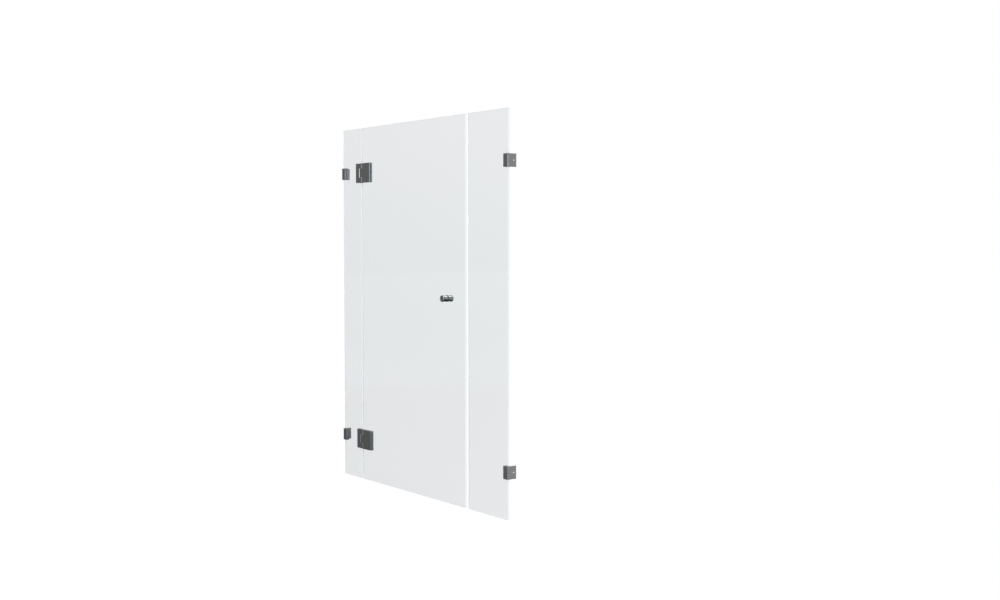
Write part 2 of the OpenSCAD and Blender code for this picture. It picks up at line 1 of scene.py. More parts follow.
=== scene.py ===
# %% [markdown]
# # A frameless glass shower door with an inline panel
# This notebook dresses a finished CAD model of a shower screen. Three panes of clear toughened glass
# stand in one plane: a narrow fixed pane, a door that swings on two glass-to-glass hinges, and a wider
# fixed pane beyond it. Four metal clamps hold the fixed panes to the walls, and the door has a round
# knob on each side.
# The shapes of most pieces are right already, so the work here is mainly looks: what glass, satin metal
# and polished metal do with light, and how a studio has to be lit so that they do it.
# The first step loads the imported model. It must not be moved, because its joints and its physics use
# the same coordinates: metres, +X along the glass, +Y into the shower and +Z up.

# %% Load the model
import json
import math

import bmesh
import bpy
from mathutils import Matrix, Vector

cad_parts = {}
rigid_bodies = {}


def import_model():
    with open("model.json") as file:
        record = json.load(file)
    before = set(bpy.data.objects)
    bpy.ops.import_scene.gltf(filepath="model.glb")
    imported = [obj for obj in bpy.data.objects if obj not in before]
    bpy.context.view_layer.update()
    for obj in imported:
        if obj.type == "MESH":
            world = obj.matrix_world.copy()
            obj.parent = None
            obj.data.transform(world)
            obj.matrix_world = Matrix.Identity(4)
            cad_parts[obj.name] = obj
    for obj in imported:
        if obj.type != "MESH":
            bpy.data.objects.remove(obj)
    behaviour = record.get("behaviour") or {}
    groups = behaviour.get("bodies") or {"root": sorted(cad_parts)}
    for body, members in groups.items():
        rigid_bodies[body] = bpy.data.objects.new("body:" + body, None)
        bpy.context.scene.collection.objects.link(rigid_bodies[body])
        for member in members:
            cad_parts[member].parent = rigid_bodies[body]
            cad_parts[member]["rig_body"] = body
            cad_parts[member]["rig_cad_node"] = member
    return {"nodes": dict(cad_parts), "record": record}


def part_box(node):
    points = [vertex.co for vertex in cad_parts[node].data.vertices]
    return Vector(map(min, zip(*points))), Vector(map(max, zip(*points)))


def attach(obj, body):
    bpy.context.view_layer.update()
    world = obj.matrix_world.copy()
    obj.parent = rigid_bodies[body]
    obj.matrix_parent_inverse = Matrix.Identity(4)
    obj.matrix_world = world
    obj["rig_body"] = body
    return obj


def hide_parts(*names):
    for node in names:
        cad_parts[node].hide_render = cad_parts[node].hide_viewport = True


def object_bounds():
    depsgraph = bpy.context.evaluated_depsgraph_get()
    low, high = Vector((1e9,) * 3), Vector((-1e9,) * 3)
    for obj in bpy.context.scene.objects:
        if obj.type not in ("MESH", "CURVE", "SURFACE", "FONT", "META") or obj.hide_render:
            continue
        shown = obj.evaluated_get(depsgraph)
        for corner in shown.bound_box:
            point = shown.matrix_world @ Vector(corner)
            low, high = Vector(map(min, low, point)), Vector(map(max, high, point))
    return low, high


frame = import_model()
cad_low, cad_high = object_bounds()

nodes = frame["nodes"]
slot_of = {part["node"]: part["material_slot"] for part in frame["record"]["subparts"]}
scene = bpy.context.scene
print("CAD nodes:", len(nodes), "box from", tuple(cad_low), "to", tuple(cad_high))

# %% [markdown]
# ## The camera
# A picture and its model can only be compared from the same place. The place, direction and lens here
# were worked out from the corners of the glass: with the panes' real sizes known, only one camera puts
# all the corners where the picture has them. It stands outside the shower, to the right, and looks
# slightly down.

# %% Camera
EYE = (5.1933, -3.4641, 1.2817)
PAN_DEG = 52.56
TILT_DEG = -2.64
SENSOR_MM = 36.0
LENS_MM = 44.28

bpy.ops.object.camera_add(
    location=EYE, rotation=(math.radians(90 + TILT_DEG), 0, math.radians(PAN_DEG)))
camera = bpy.context.object
camera.name = "picture_camera"
camera.data.sensor_width = SENSOR_MM
camera.data.lens = LENS_MM
scene.camera = camera
scene.view_settings.view_transform = "Standard"
print("camera at", EYE, "with a lens of", LENS_MM, "mm")

# %% [markdown]
# ## The white room
# Clear glass has almost no look of its own: it shows what is behind it and, faintly, what is in front.
# On a white ground it reads as a pale grey sheet, and its outline comes from the small loss of light.
# So the room is white wherever it is seen directly, through glass or in a mirror. A world can tell
# these cases apart with a Light Path node. Light that falls on dull surfaces is set on its own, so the
# background can be pure white without over-lighting the object.

# %% Seen directly, mirrored or through glass
def seen_share(tree):
    """A socket that is 1 for rays that show the background and 0 for rays that light dull surfaces."""
    path = tree.nodes.new("ShaderNodeLightPath")
    total = path.outputs["Is Camera Ray"]
    for name in ("Is Glossy Ray", "Is Transmission Ray"):
        add = tree.nodes.new("ShaderNodeMath")
        add.operation = "ADD"
        add.use_clamp = True
        tree.links.new(total, add.inputs[0])
        tree.links.new(path.outputs[name], add.inputs[1])
        total = add.outputs[0]
    return total


# %% World
SKY_LEVEL = 0.85
SKY_COLOR = (0.97, 0.985, 1.0, 1)

world = bpy.data.worlds.new("white_room")
world.use_nodes = True
scene.world = world
tree = world.node_tree
tree.nodes.clear()
soft_light = tree.nodes.new("ShaderNodeBackground")
soft_light.inputs["Color"].default_value = SKY_COLOR
soft_light.inputs["Strength"].default_value = SKY_LEVEL
white = tree.nodes.new("ShaderNodeBackground")
white.inputs["Color"].default_value = (1, 1, 1, 1)
white.inputs["Strength"].default_value = 1.0
mix = tree.nodes.new("ShaderNodeMixShader")
world_out = tree.nodes.new("ShaderNodeOutputWorld")
tree.links.new(seen_share(tree), mix.inputs["Fac"])
tree.links.new(soft_light.outputs[0], mix.inputs[1])
tree.links.new(white.outputs[0], mix.inputs[2])
tree.links.new(mix.outputs[0], world_out.inputs["Surface"])
print("world lights dull surfaces at", SKY_LEVEL)

# %% [markdown]
# ## The floor
# The glass ends a finger's width above the floor, as a real screen does. Most of the floor's look is a
# plain white glow, so it meets the white room without a horizon, and a small share is a dull white
# surface, which keeps the soft shadow under the panes. Far from the object the glow takes over fully.

# %% Floor
FLOOR_DROP = 0.01
FLOOR_SIZE = 80.0
FLOOR_COLOR = (0.97, 0.97, 0.97, 1)
FLOOR_GLOW = 1.02
SHADOW_SHARE = 0.12
FADE_START = 1.5
FADE_END = 6.0

bpy.ops.mesh.primitive_plane_add(size=FLOOR_SIZE, location=(0, 0, -FLOOR_DROP))
floor = bpy.context.object
floor.name = "floor"
floor_paint = bpy.data.materials.new("white_floor")
floor_paint.use_nodes = True
tree = floor_paint.node_tree
tree.nodes.clear()
place = tree.nodes.new("ShaderNodeTexCoord")
length = tree.nodes.new("ShaderNodeVectorMath")
length.operation = "LENGTH"
fade = tree.nodes.new("ShaderNodeMapRange")
fade.inputs["From Min"].default_value = FADE_START
fade.inputs["From Max"].default_value = FADE_END
fade.inputs["To Min"].default_value = 1 - SHADOW_SHARE
fade.inputs["To Max"].default_value = 1.0
share = tree.nodes.new("ShaderNodeMath")
share.operation = "MULTIPLY"
dull = tree.nodes.new("ShaderNodeBsdfDiffuse")
dull.inputs["Color"].default_value = FLOOR_COLOR
glow = tree.nodes.new("ShaderNodeEmission")
glow.inputs["Strength"].default_value = FLOOR_GLOW
mix = tree.nodes.new("ShaderNodeMixShader")
out = tree.nodes.new("ShaderNodeOutputMaterial")
tree.links.new(place.outputs["Object"], length.inputs[0])
tree.links.new(length.outputs["Value"], fade.inputs["Value"])
tree.links.new(fade.outputs["Result"], share.inputs[0])
tree.links.new(seen_share(tree), share.inputs[1])
tree.links.new(share.outputs[0], mix.inputs["Fac"])
tree.links.new(dull.outputs[0], mix.inputs[1])
tree.links.new(glow.outputs[0], mix.inputs[2])
tree.links.new(mix.outputs[0], out.inputs["Surface"])
floor.data.materials.append(floor_paint)
print("floor", FLOOR_DROP, "m below the glass")

# %% [markdown]
# ## Dark cards for the metal
# Polished metal in a white room turns white and loses its shape. Photographers put dark cards beside it,
# just outside the picture: the metal mirrors them and gets its dark faces back. Three cards do that here.
# One stands in front on the left and one lies on the floor, where the front faces of the hinges and
# clamps look. A tiny, darker one lies just under the knobs and gives their round sides a dark underside.
# The cards must not be seen through the clear glass. Light Path counts how often a ray has been
# mirrored, so a card can be there for mirrored rays and clear for all others. Panes mirror the cards
# too, so each card fades out towards its borders and leaves no hard line in the glass.

# %% A socket that fades towards the borders of a face
def faded(tree, start, place, fade):
    """start times a mask that falls to 0 at the borders of a face.

    place runs from -0.5 to 0.5 across the face. fade is the share that fades (along X, along Y).
    """
    away = tree.nodes.new("ShaderNodeVectorMath")
    away.operation = "ABSOLUTE"
    parts = tree.nodes.new("ShaderNodeSeparateXYZ")
    tree.links.new(place, away.inputs[0])
    tree.links.new(away.outputs["Vector"], parts.inputs[0])
    for axis, share in zip("XY", fade):
        fall = tree.nodes.new("ShaderNodeMapRange")
        fall.interpolation_type = "SMOOTHSTEP"
        fall.inputs["From Min"].default_value = 0.5 - share
        fall.inputs["From Max"].default_value = 0.5
        fall.inputs["To Min"].default_value = 1.0
        fall.inputs["To Max"].default_value = 0.0
        times = tree.nodes.new("ShaderNodeMath")
        times.operation = "MULTIPLY"
        tree.links.new(parts.outputs[axis], fall.inputs["Value"])
        tree.links.new(start, times.inputs[0])
        tree.links.new(fall.outputs["Result"], times.inputs[1])
        start = times.outputs[0]
    return start


# %% Cards
def add_card(name, size, location, turn_deg, grey, fade):
    """A flat card of one grey that only mirrored rays see."""
    turn = [math.radians(angle) for angle in turn_deg]
    bpy.ops.mesh.primitive_plane_add(size=1, location=location, rotation=turn)
    card = bpy.context.object
    card.name = name
    card.scale = (size[0], size[1], 1)
    paint = bpy.data.materials.new(name)
    paint.use_nodes = True
    card_tree = paint.node_tree
    card_tree.nodes.clear()
    path = card_tree.nodes.new("ShaderNodeLightPath")
    mirrored = card_tree.nodes.new("ShaderNodeMath")
    mirrored.operation = "GREATER_THAN"
    mirrored.inputs[1].default_value = 0.5
    place = card_tree.nodes.new("ShaderNodeTexCoord").outputs["Object"]
    no_card = card_tree.nodes.new("ShaderNodeBsdfTransparent")
    grey_glow = card_tree.nodes.new("ShaderNodeEmission")
    grey_glow.inputs["Color"].default_value = (grey, grey, grey, 1)
    card_mix = card_tree.nodes.new("ShaderNodeMixShader")
    card_out = card_tree.nodes.new("ShaderNodeOutputMaterial")
    card_tree.links.new(path.outputs["Glossy Depth"], mirrored.inputs[0])
    card_tree.links.new(faded(card_tree, mirrored.outputs[0], place, fade), card_mix.inputs["Fac"])
    card_tree.links.new(no_card.outputs[0], card_mix.inputs[1])
    card_tree.links.new(grey_glow.outputs[0], card_mix.inputs[2])
    card_tree.links.new(card_mix.outputs[0], card_out.inputs["Surface"])
    card.data.materials.append(paint)
    for ray in ("camera", "diffuse", "volume_scatter", "shadow"):
        setattr(card, "visible_" + ray, False)


add_card("left_card", size=(8.0, 7.0), location=(-4.2, -2.6, 1.4), turn_deg=(90, 0, -58),
         grey=0.40, fade=(0.15, 0.2))
add_card("floor_card", size=(8.4, 5.2), location=(-3.29, -0.42, -0.6 * FLOOR_DROP),
         turn_deg=(0, 0, 37.7), grey=0.30, fade=(0.1, 0.07))
add_card("knob_card", size=(0.13, 0.08), location=(0.295, 0.012, 0.972), turn_deg=(0, 0, 0),
         grey=0.08, fade=(0.15, 0.15))

# %% [markdown]
# ## The lamps
# Two soft lamps are enough. A long one high behind the glass gives the round knobs their bright upper
# side. A tall one in front, on the right, draws a bright line on the bevels and round edges that face
# it. It would show through the glass when the screen is seen from inside the shower, so it is
# hidden from rays that have passed through glass. An area lamp's power spreads over its surface, so the
# helper takes the brightness that the lamp's face should have, with 1 as white, and works out the power
# from its size. The panes mirror the lamps as well, so a lamp's face fades out at its borders like a
# card. Geometry's Parametric output runs from 0 to 1 across the face of an area lamp.

# %% Lamps
def add_softbox(name, size, location, aim, brightness, fade):
    """A rectangular area lamp at location that faces the point aim, its face faded at the borders."""
    bpy.ops.object.light_add(type="AREA", location=location)
    lamp = bpy.context.object
    lamp.name = name
    lamp.rotation_euler = (Vector(aim) - Vector(location)).to_track_quat("-Z", "Y").to_euler()
    lamp.data.shape = "RECTANGLE"
    lamp.data.size, lamp.data.size_y = size
    lamp.data.energy = brightness * math.pi * size[0] * size[1]
    lamp.visible_camera = False
    lamp.data.use_nodes = True
    lamp_tree = lamp.data.node_tree
    centred = lamp_tree.nodes.new("ShaderNodeVectorMath")
    centred.operation = "SUBTRACT"
    centred.inputs[1].default_value = (0.5, 0.5, 0)
    full = lamp_tree.nodes.new("ShaderNodeValue")
    full.outputs[0].default_value = 1.0
    across = lamp_tree.nodes.new("ShaderNodeNewGeometry").outputs["Parametric"]
    lamp_tree.links.new(across, centred.inputs[0])
    strength = faded(lamp_tree, full.outputs[0], centred.outputs[0], fade)
    lamp_tree.links.new(strength, lamp_tree.nodes["Emission"].inputs["Strength"])
    return lamp


add_softbox("back_softbox", size=(3.0, 1.0), location=(0.4, 2.1, 3.6), aim=(0.25, 0.0, 1.0),
            brightness=3.6, fade=(0.1, 0.1))
front_softbox = add_softbox(
    "front_softbox", size=(2.8, 5.0), location=(2.6, -3.9, 2.6), aim=(-0.5, 0.0, 2.3),
    brightness=3.1, fade=(0.25, 0.15))
front_softbox.visible_transmission = False

# %% [markdown]
# ## Effects that several materials share
# No real surface has one colour and one gloss all over. Four small effects cover what these materials
# need, and each is a node group, so every material can set its own amounts:
# - smudges: a cloudy pattern that makes the gloss differ a little from place to place
# - brushing: very fine parallel lines left by an abrasive belt
# - mottle: a soft change of colour, as in plastic
# - over height: a value that changes steadily between two heights
# Each group takes a position, so the pattern is fixed to the object and stays put when it moves.

# %% A helper that makes a node group
def new_group(name, inputs, outputs):
    """A shader node group with float or colour sockets, and its input and output nodes."""
    group = bpy.data.node_groups.new(name, "ShaderNodeTree")
    for socket, kind, value in inputs:
        made = group.interface.new_socket(
            name=socket, in_out="INPUT", socket_type="NodeSocket" + kind)
        if value is not None:
            made.default_value = value
    for socket, kind in outputs:
        group.interface.new_socket(name=socket, in_out="OUTPUT", socket_type="NodeSocket" + kind)
    return group, group.nodes.new("NodeGroupInput"), group.nodes.new("NodeGroupOutput")


# %% Smudges
smudges, g_in, g_out = new_group(
    "smudges",
    [("Position", "Vector", None), ("Scale", "Float", 8.0),
     ("Low", "Float", 0.1), ("High", "Float", 0.2)],
    [("Roughness", "Float")])
cloud = smudges.nodes.new("ShaderNodeTexNoise")
cloud.inputs["Detail"].default_value = 4.0
cloud.inputs["Roughness"].default_value = 0.6
spread = smudges.nodes.new("ShaderNodeMapRange")
spread.inputs["From Min"].default_value = 0.3
spread.inputs["From Max"].default_value = 0.7
level = smudges.nodes.new("ShaderNodeMapRange")
smudges.links.new(g_in.outputs["Position"], cloud.inputs["Vector"])
smudges.links.new(g_in.outputs["Scale"], cloud.inputs["Scale"])
smudges.links.new(cloud.outputs["Fac"], spread.inputs["Value"])
smudges.links.new(spread.outputs["Result"], level.inputs["Value"])
smudges.links.new(g_in.outputs["Low"], level.inputs["To Min"])
smudges.links.new(g_in.outputs["High"], level.inputs["To Max"])
smudges.links.new(level.outputs["Result"], g_out.inputs["Roughness"])
print("group:", smudges.name)

# %% Brushing
brushing, g_in, g_out = new_group(
    "brushing",
    [("Position", "Vector", None), ("Lines", "Float", 900.0), ("Depth", "Float", 0.05),
     ("Color", "Color", (0.3, 0.3, 0.3, 1)), ("Contrast", "Float", 0.1)],
    [("Color", "Color"), ("Height", "Float")])
stretch = brushing.nodes.new("ShaderNodeMapping")
stretch.inputs["Scale"].default_value = (1.0, 1.0, 0.03)
lines = brushing.nodes.new("ShaderNodeTexNoise")
lines.inputs["Detail"].default_value = 3.0
shade = brushing.nodes.new("ShaderNodeMapRange")
shade.inputs["From Min"].default_value = 0.25
shade.inputs["From Max"].default_value = 0.75
darkest = brushing.nodes.new("ShaderNodeMath")
darkest.operation = "SUBTRACT"
darkest.inputs[0].default_value = 1.0
tone = brushing.nodes.new("ShaderNodeVectorMath")
tone.operation = "SCALE"
height = brushing.nodes.new("ShaderNodeMath")
height.operation = "MULTIPLY"
brushing.links.new(g_in.outputs["Position"], stretch.inputs["Vector"])
brushing.links.new(stretch.outputs["Vector"], lines.inputs["Vector"])
brushing.links.new(g_in.outputs["Lines"], lines.inputs["Scale"])
brushing.links.new(lines.outputs["Fac"], shade.inputs["Value"])
brushing.links.new(g_in.outputs["Contrast"], darkest.inputs[1])
brushing.links.new(darkest.outputs[0], shade.inputs["To Min"])
brushing.links.new(g_in.outputs["Color"], tone.inputs[0])
brushing.links.new(shade.outputs["Result"], tone.inputs["Scale"])
brushing.links.new(lines.outputs["Fac"], height.inputs[0])
brushing.links.new(g_in.outputs["Depth"], height.inputs[1])
brushing.links.new(tone.outputs["Vector"], g_out.inputs["Color"])
brushing.links.new(height.outputs[0], g_out.inputs["Height"])
print("group:", brushing.name)

# %% Mottle
mottle, g_in, g_out = new_group(
    "mottle",
    [("Position", "Vector", None), ("Scale", "Float", 60.0),
     ("Color", "Color", (0.8, 0.8, 0.8, 1)), ("Second Color", "Color", (0.7, 0.7, 0.7, 1))],
    [("Color", "Color"), ("Height", "Float")])
patches = mottle.nodes.new("ShaderNodeTexNoise")
patches.inputs["Detail"].default_value = 5.0
# A Mix node has sockets for each kind of data. Inputs 6 and 7 and output 2 are those for colours.
blend = mottle.nodes.new("ShaderNodeMix")
blend.data_type = "RGBA"
mottle.links.new(g_in.outputs["Position"], patches.inputs["Vector"])
mottle.links.new(g_in.outputs["Scale"], patches.inputs["Scale"])
mottle.links.new(patches.outputs["Fac"], blend.inputs["Factor"])
mottle.links.new(g_in.outputs["Color"], blend.inputs[6])
mottle.links.new(g_in.outputs["Second Color"], blend.inputs[7])
mottle.links.new(blend.outputs[2], g_out.inputs["Color"])
mottle.links.new(patches.outputs["Fac"], g_out.inputs["Height"])
print("group:", mottle.name)

# %% Over height
over_height, g_in, g_out = new_group(
    "over_height",
    [("Position", "Vector", None), ("Bottom", "Float", cad_low.z), ("Top", "Float", cad_high.z),
     ("At Bottom", "Float", 0.0), ("At Top", "Float", 1.0)],
    [("Value", "Float")])
split = over_height.nodes.new("ShaderNodeSeparateXYZ")
rise = over_height.nodes.new("ShaderNodeMapRange")
over_height.links.new(g_in.outputs["Position"], split.inputs[0])
over_height.links.new(split.outputs["Z"], rise.inputs["Value"])
for socket, end in (("Bottom", "From Min"), ("Top", "From Max"),
                    ("At Bottom", "To Min"), ("At Top", "To Max")):
    over_height.links.new(g_in.outputs[socket], rise.inputs[end])
over_height.links.new(rise.outputs["Result"], g_out.inputs["Value"])
print("group:", over_height.name)

# %% [markdown]
# ## Starting a material
# Each material below begins the same way: a Principled shader, and the position of the surface in the
# object's own coordinates. The first helper makes those two. The second places a shared effect in a
# material with its own amounts, and the third turns a pattern into a slight relief.

# %% Material helpers
def new_material(name, **plain):
    """A material with a Principled shader. plain sets values that are the same all over."""
    material = bpy.data.materials.new(name)
    material.use_nodes = True
    shader = material.node_tree.nodes["Principled BSDF"]
    for socket, value in plain.items():
        shader.inputs[socket.replace("_", " ").title().replace("Ior", "IOR")].default_value = value
    position = material.node_tree.nodes.new("ShaderNodeTexCoord").outputs["Object"]
    return material, shader, position


def place_effect(material, group, position, **values):
    """The group as a node of the material, with its position linked and its amounts set."""
    node = material.node_tree.nodes.new("ShaderNodeGroup")
    node.node_tree = group
    material.node_tree.links.new(position, node.inputs["Position"])
    for socket, value in values.items():
        node.inputs[socket.replace("_", " ").title()].default_value = value
    return node


def add_bump(material, shader, height, distance):
    """Turns a height into a slight tilt of the surface. distance is the relief at full height."""
    bump = material.node_tree.nodes.new("ShaderNodeBump")
    bump.inputs["Distance"].default_value = distance
    material.node_tree.links.new(height, bump.inputs["Height"])
    material.node_tree.links.new(bump.outputs["Normal"], shader.inputs["Normal"])


# %% [markdown]
# ## Toughened glass
# Window glass has a faint green cast from the iron in the sand, and each surface mirrors about a
# twentieth of the light, more at a slant. The colour is written for light that has passed both faces.
# Its colour is also painted slightly lighter or darker with the height, as painted light and shade,
# because a large pane never looks equally bright from top to bottom. A Color Ramp over the height holds
# its three tones. Wiped glass is never equally clean everywhere, so the gloss gets very light smudges.

# %% Glass
# Painted light and shade: the glass colour at three heights, lighter or darker where the pane should look
# brighter or darker.
GLASS_PAINTED_SHADE = (
    (0.28, (0.826, 0.861, 0.881, 1)),
    (0.45, (0.806, 0.854, 0.866, 1)),
    (1.0, (0.856, 0.887, 0.906, 1)),
)
GLASS_IOR = 1.52
GLASS_MIRROR_TINT = (0.45, 0.92, 1.0, 1)

glass, shader, position = new_material(
    "toughened_glass", transmission_weight=1.0, metallic=0.0, ior=GLASS_IOR)
shader.inputs["Specular Tint"].default_value = GLASS_MIRROR_TINT
tree = glass.node_tree
painted_shade_ramp = tree.nodes.new("ShaderNodeValToRGB")
painted_shade_ramp.color_ramp.elements.new(0.5)
for stop, (height, tone) in zip(painted_shade_ramp.color_ramp.elements, GLASS_PAINTED_SHADE):
    stop.position = height
    stop.color = tone
rise = place_effect(glass, over_height, position)
tree.links.new(rise.outputs["Value"], painted_shade_ramp.inputs["Fac"])
tree.links.new(painted_shade_ramp.outputs["Color"], shader.inputs["Base Color"])
wiped = place_effect(glass, smudges, position, scale=5.0, low=0.0, high=0.012)
tree.links.new(wiped.outputs["Roughness"], shader.inputs["Roughness"])
print("glass:", glass.name)

# %% [markdown]
# ## Ground edges
# The edges of a pane, its holes and its cut-outs are ground before the glass is toughened, and that
# leaves them matt and pale. This matters more than it seems: a perfectly clear edge traps the light and
# renders as a dark line, which real ground glass never shows. So the edges get a material of their own.
# A pale floor also lights their lower part. The floor here glows only where it is seen, so the material
# itself is slightly paler towards the bottom.

# %% Ground edges
EDGE_COLOR = (0.785, 0.825, 0.83, 1)
EDGE_SECOND = (0.745, 0.785, 0.79, 1)
PALER_AT_BOTTOM = 1.09
PALER_BELOW = (cad_low.z + cad_high.z) / 2

ground, shader, position = new_material("ground_edge", metallic=0.0, ior=GLASS_IOR)
grains = place_effect(ground, mottle, position, scale=900.0,
                      color=EDGE_COLOR, second_color=EDGE_SECOND)
frosted = place_effect(ground, smudges, position, scale=60.0, low=0.35, high=0.5)
paler = ground.node_tree.nodes.new("ShaderNodeVectorMath")
paler.operation = "SCALE"
lift = place_effect(ground, over_height, position, top=PALER_BELOW, at_bottom=PALER_AT_BOTTOM)
ground.node_tree.links.new(grains.outputs["Color"], paler.inputs["Vector"])
ground.node_tree.links.new(lift.outputs["Value"], paler.inputs["Scale"])
ground.node_tree.links.new(paler.outputs["Vector"], shader.inputs["Base Color"])
ground.node_tree.links.new(frosted.outputs["Roughness"], shader.inputs["Roughness"])
add_bump(ground, shader, grains.outputs["Height"], distance=0.00003)
print("ground edge:", ground.name)

# %% [markdown]
# ## Satin metal
# The hinges and clamps are solid brass with a dark nickel finish, brushed to a satin. Metal has no
# colour under its mirror, so the base colour is simply how much it reflects. The brushing runs upright.

# %% Satin metal
SATIN_COLOR = (0.24, 0.24, 0.245, 1)

satin, shader, position = new_material("satin_nickel", metallic=1.0)
brushed = place_effect(satin, brushing, position, lines=1400.0, depth=0.5,
                       color=SATIN_COLOR, contrast=0.12)
handled = place_effect(satin, smudges, position, scale=30.0, low=0.26, high=0.36)
satin.node_tree.links.new(brushed.outputs["Color"], shader.inputs["Base Color"])
satin.node_tree.links.new(handled.outputs["Roughness"], shader.inputs["Roughness"])
add_bump(satin, shader, brushed.outputs["Height"], distance=0.00004)
print("satin metal:", satin.name)

# %% [markdown]
# ## Polished metal
# The knobs have the same nickel, but polished, so they mirror the room sharply. They are turned on a
# lathe, and the tool leaves very fine rings round the axis. A Wave texture draws rings round its own
# origin, so a Mapping node first moves that origin onto the knobs' axis. On top come the finger marks
# of a thing that is touched every day.

# %% Polished metal
POLISHED_COLOR = (0.23, 0.23, 0.233, 1)
POLISHED_SECOND = (0.21, 0.21, 0.213, 1)
knob_low, knob_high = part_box("outer_knob")
knob_axis = ((knob_low.x + knob_high.x) / 2, 0.0, (knob_low.z + knob_high.z) / 2)

polished, shader, position = new_material("polished_nickel", metallic=1.0)
tree = polished.node_tree
centred = tree.nodes.new("ShaderNodeMapping")
centred.inputs["Location"].default_value = (-knob_axis[0], 0, -knob_axis[2])
rings = tree.nodes.new("ShaderNodeTexWave")
rings.wave_type = "RINGS"
rings.rings_direction = "Y"
rings.inputs["Scale"].default_value = 900.0
rings.inputs["Distortion"].default_value = 0.6
tree.links.new(position, centred.inputs["Vector"])
tree.links.new(centred.outputs["Vector"], rings.inputs["Vector"])
clouded = place_effect(polished, mottle, position, scale=70.0,
                       color=POLISHED_COLOR, second_color=POLISHED_SECOND)
touched = place_effect(polished, smudges, position, scale=90.0, low=0.07, high=0.15)
tree.links.new(clouded.outputs["Color"], shader.inputs["Base Color"])
tree.links.new(touched.outputs["Roughness"], shader.inputs["Roughness"])
add_bump(polished, shader, rings.outputs["Fac"], distance=0.000002)
print("polished metal:", polished.name, "rings round", knob_axis)

# %% [markdown]
# ## Screw steel
# The screws, pins and springs are plain stainless steel. It is paler than the nickel, and they are made
# from drawn rod and wire, which has fine lines along it. So the brushing effect serves again, with finer
# lines and more contrast.

# %% Screw steel
SCREW_COLOR = (0.46, 0.465, 0.475, 1)

screw_steel, shader, position = new_material("screw_steel", metallic=1.0)
drawn = place_effect(screw_steel, brushing, position, lines=2000.0, depth=0.4,
                     color=SCREW_COLOR, contrast=0.15)
oiled = place_effect(screw_steel, smudges, position, scale=150.0, low=0.24, high=0.36)
screw_steel.node_tree.links.new(drawn.outputs["Color"], shader.inputs["Base Color"])
screw_steel.node_tree.links.new(oiled.outputs["Roughness"], shader.inputs["Roughness"])
add_bump(screw_steel, shader, drawn.outputs["Height"], distance=0.00002)
print("screw steel:", screw_steel.name)

# %% [markdown]
# ## Soft plastic and nylon
# The gaskets and washers between metal and glass are clear soft plastic, a little milky. Their thin
# edges gather the blue-green of the glass, so most of the shader is transmission with a tinted colour.
# The sleeves and bushes are nylon as it comes, an opaque warm white with a matt skin.

# %% Clear gasket
GASKET_COLOR = (0.58, 0.78, 0.82, 1)
GASKET_SECOND = (0.48, 0.70, 0.74, 1)

gasket, shader, position = new_material(
    "clear_gasket", transmission_weight=0.75, metallic=0.0, ior=1.5)
milky = place_effect(gasket, mottle, position, scale=140.0,
                     color=GASKET_COLOR, second_color=GASKET_SECOND)
soft_gloss = place_effect(gasket, smudges, position, scale=120.0, low=0.2, high=0.35)
gasket.node_tree.links.new(milky.outputs["Color"], shader.inputs["Base Color"])
gasket.node_tree.links.new(soft_gloss.outputs["Roughness"], shader.inputs["Roughness"])
add_bump(gasket, shader, milky.outputs["Height"], distance=0.0001)
print("gasket:", gasket.name)

# %% Nylon
NYLON_COLOR = (0.86, 0.85, 0.79, 1)
NYLON_SECOND = (0.74, 0.73, 0.67, 1)

nylon, shader, position = new_material("natural_nylon", metallic=0.0, ior=1.53)
cast = place_effect(nylon, mottle, position, scale=220.0,
                    color=NYLON_COLOR, second_color=NYLON_SECOND)
matt = place_effect(nylon, smudges, position, scale=200.0, low=0.4, high=0.55)
nylon.node_tree.links.new(cast.outputs["Color"], shader.inputs["Base Color"])
nylon.node_tree.links.new(matt.outputs["Roughness"], shader.inputs["Roughness"])
add_bump(nylon, shader, cast.outputs["Height"], distance=0.00008)
print("nylon:", nylon.name)

# %% [markdown]
# ## Giving every CAD piece its material
# The record says which finish each node has, so a table from finish to material does the whole model.

# %% Assign
material_of = {
    "clear_glass": glass,
    "satin_metal": satin,
    "polished_metal": polished,
    "screw_steel": screw_steel,
    "clear_gasket": gasket,
    "nylon": nylon,
}
for name, piece in nodes.items():
    piece.data.materials.clear()
    piece.data.materials.append(material_of[slot_of[name]])
print({slot: sum(s == slot for s in slot_of.values()) for slot in material_of})

# %% [markdown]
# ## Working on a copy of a CAD piece
# A CAD piece itself must stay as it is, but a copy may be refined and shown in its place. Its mesh comes
# as loose triangles, so the copy's doubled corners are merged first and its flat areas are joined into
# single faces. After that it is a normal mesh that modifiers can work on.
# Three helpers serve the pieces that follow. One leaves only the given object selected, because an
# operator works on everything that is selected. One hands a finished piece over to the body it moves
# with, and one makes such a merged copy.

# %% Helpers for pieces
MERGE_WITHIN = 0.000002
FLAT_DEG = 0.2


def select_only(piece):
    """Leave nothing but this object selected and active."""
    bpy.ops.object.select_all(action="DESELECT")
    piece.select_set(True)
    bpy.context.view_layer.objects.active = piece


def stand_in(piece, name):
    """Show the piece instead of the CAD node of that name, on the same body."""
    select_only(piece)
    bpy.ops.object.transform_apply(location=True, rotation=True, scale=True)
    piece.name = "shown_" + name
    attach(piece, nodes[name]["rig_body"])
    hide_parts(name)


def copy_of(name):
    """A merged copy of a CAD node, free of its body."""
    select_only(nodes[name])
    bpy.ops.object.duplicate()
    piece = bpy.context.object
    bpy.ops.object.parent_clear(type="CLEAR_KEEP_TRANSFORM")
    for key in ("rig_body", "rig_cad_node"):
        del piece[key]
    bpy.ops.object.mode_set(mode="EDIT")
    bpy.ops.mesh.select_all(action="SELECT")
    bpy.ops.mesh.remove_doubles(threshold=MERGE_WITHIN)
    bpy.ops.mesh.dissolve_limited(angle_limit=math.radians(FLAT_DEG))
    bpy.ops.object.mode_set(mode="OBJECT")
    return piece


